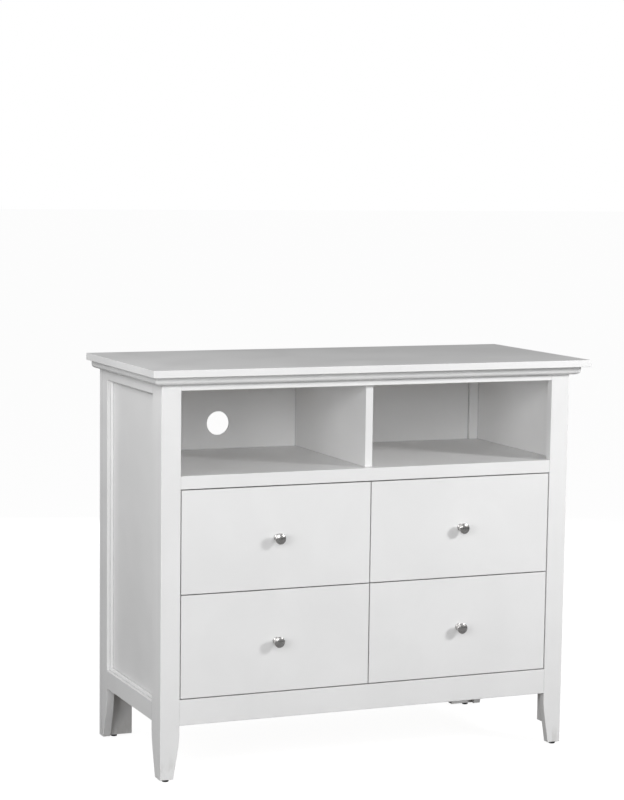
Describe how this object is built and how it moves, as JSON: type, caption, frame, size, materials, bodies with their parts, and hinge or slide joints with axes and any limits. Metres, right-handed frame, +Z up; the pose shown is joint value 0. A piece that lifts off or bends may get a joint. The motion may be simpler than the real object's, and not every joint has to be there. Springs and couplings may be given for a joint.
{
  "type": "media cabinet",
  "caption": "Painted wooden media cabinet on tapered legs: open shelf bays with a cable hole above inset drawers with round metal knobs, under an overhanging moulded top.",
  "frame": {"origin": "on the floor, under the middle of the top panel", "axes": "+Z up, +X to the right as seen from the front, the drawers open towards -Y"},
  "size_m": [1.067, 0.482, 0.914],
  "materials": {
    "white_paint": "satin white paint",
    "bare_wood": "clear sealed",
    "satin_nickel": "satin nickel",
    "zinc_steel": "zinc plated",
    "black_plastic": "matt"
  },
  "bodies": {
    "carcass": {"top_panel": "white_paint", "crown_moulding_front": "white_paint", "crown_moulding_sides": "white_paint", "top_front_rail": "white_paint", "back_rails": "bare_wood", "side_top_rails": "white_paint", "side_bottom_rails": "white_paint", "left_side_panel": "white_paint", "right_side_panel": "white_paint", "side_panel_beads": "white_paint", "left_front_leg_face": "white_paint", "right_front_leg_face": "white_paint", "left_front_leg_side": "white_paint", "right_front_leg_side": "white_paint", "left_rear_leg_side": "white_paint", "right_rear_leg_side": "white_paint", "left_rear_leg_back": "white_paint", "right_rear_leg_back": "white_paint", "leg_corner_blocks": "white_paint", "foot_glides": "black_plastic", "back_panel": "white_paint", "shelf_panel": "white_paint", "shelf_front_rail": "white_paint", "compartment_divider": "white_paint", "drawer_divider": "bare_wood", "front_bottom_rail": "white_paint", "centre_stretcher": "bare_wood", "runner_battens": "bare_wood", "slide_outer_members": "zinc_steel", "slide_screws": "zinc_steel", "top_fixing_screws": "zinc_steel"},
    "upper_left_drawer": {"upper_left_drawer_front": "white_paint", "upper_left_drawer_sides": "bare_wood", "upper_left_drawer_back": "bare_wood", "upper_left_drawer_bottom": "bare_wood", "upper_left_knob": "satin_nickel", "upper_left_slide_inner_members": "zinc_steel"},
    "upper_left_cages": {"upper_left_ball_cages": "zinc_steel"},
    "upper_right_drawer": {"upper_right_drawer_front": "white_paint", "upper_right_drawer_sides": "bare_wood", "upper_right_drawer_back": "bare_wood", "upper_right_drawer_bottom": "bare_wood", "upper_right_knob": "satin_nickel", "upper_right_slide_inner_members": "zinc_steel"},
    "upper_right_cages": {"upper_right_ball_cages": "zinc_steel"},
    "lower_left_drawer": {"lower_left_drawer_front": "white_paint", "lower_left_drawer_sides": "bare_wood", "lower_left_drawer_back": "bare_wood", "lower_left_drawer_bottom": "bare_wood", "lower_left_knob": "satin_nickel", "lower_left_slide_inner_members": "zinc_steel"},
    "lower_left_cages": {"lower_left_ball_cages": "zinc_steel"},
    "lower_right_drawer": {"lower_right_drawer_front": "white_paint", "lower_right_drawer_sides": "bare_wood", "lower_right_drawer_back": "bare_wood", "lower_right_drawer_bottom": "bare_wood", "lower_right_knob": "satin_nickel", "lower_right_slide_inner_members": "zinc_steel"},
    "lower_right_cages": {"lower_right_ball_cages": "zinc_steel"}
  },
  "joints": [
    {"name": "upper_left_drawer_slide", "type": "slide", "parent": "carcass", "child": "upper_left_drawer", "axis": [0, -1, 0], "range_m": [0, 0.26]},
    {"name": "upper_left_cage_slide", "type": "slide", "parent": "carcass", "child": "upper_left_cages", "axis": [0, -1, 0], "range_m": [0, 0.13]},
    {"name": "upper_right_drawer_slide", "type": "slide", "parent": "carcass", "child": "upper_right_drawer", "axis": [0, -1, 0], "range_m": [0, 0.26]},
    {"name": "upper_right_cage_slide", "type": "slide", "parent": "carcass", "child": "upper_right_cages", "axis": [0, -1, 0], "range_m": [0, 0.13]},
    {"name": "lower_left_drawer_slide", "type": "slide", "parent": "carcass", "child": "lower_left_drawer", "axis": [0, -1, 0], "range_m": [0, 0.26]},
    {"name": "lower_left_cage_slide", "type": "slide", "parent": "carcass", "child": "lower_left_cages", "axis": [0, -1, 0], "range_m": [0, 0.13]},
    {"name": "lower_right_drawer_slide", "type": "slide", "parent": "carcass", "child": "lower_right_drawer", "axis": [0, -1, 0], "range_m": [0, 0.26]},
    {"name": "lower_right_cage_slide", "type": "slide", "parent": "carcass", "child": "lower_right_cages", "axis": [0, -1, 0], "range_m": [0, 0.13]}
  ],
  "couplings": [
    {"joint": "upper_left_cage_slide", "follows": "upper_left_drawer_slide", "ratio": 0.5},
    {"joint": "upper_right_cage_slide", "follows": "upper_right_drawer_slide", "ratio": 0.5},
    {"joint": "lower_left_cage_slide", "follows": "lower_left_drawer_slide", "ratio": 0.5},
    {"joint": "lower_right_cage_slide", "follows": "lower_right_drawer_slide", "ratio": 0.5}
  ]
}
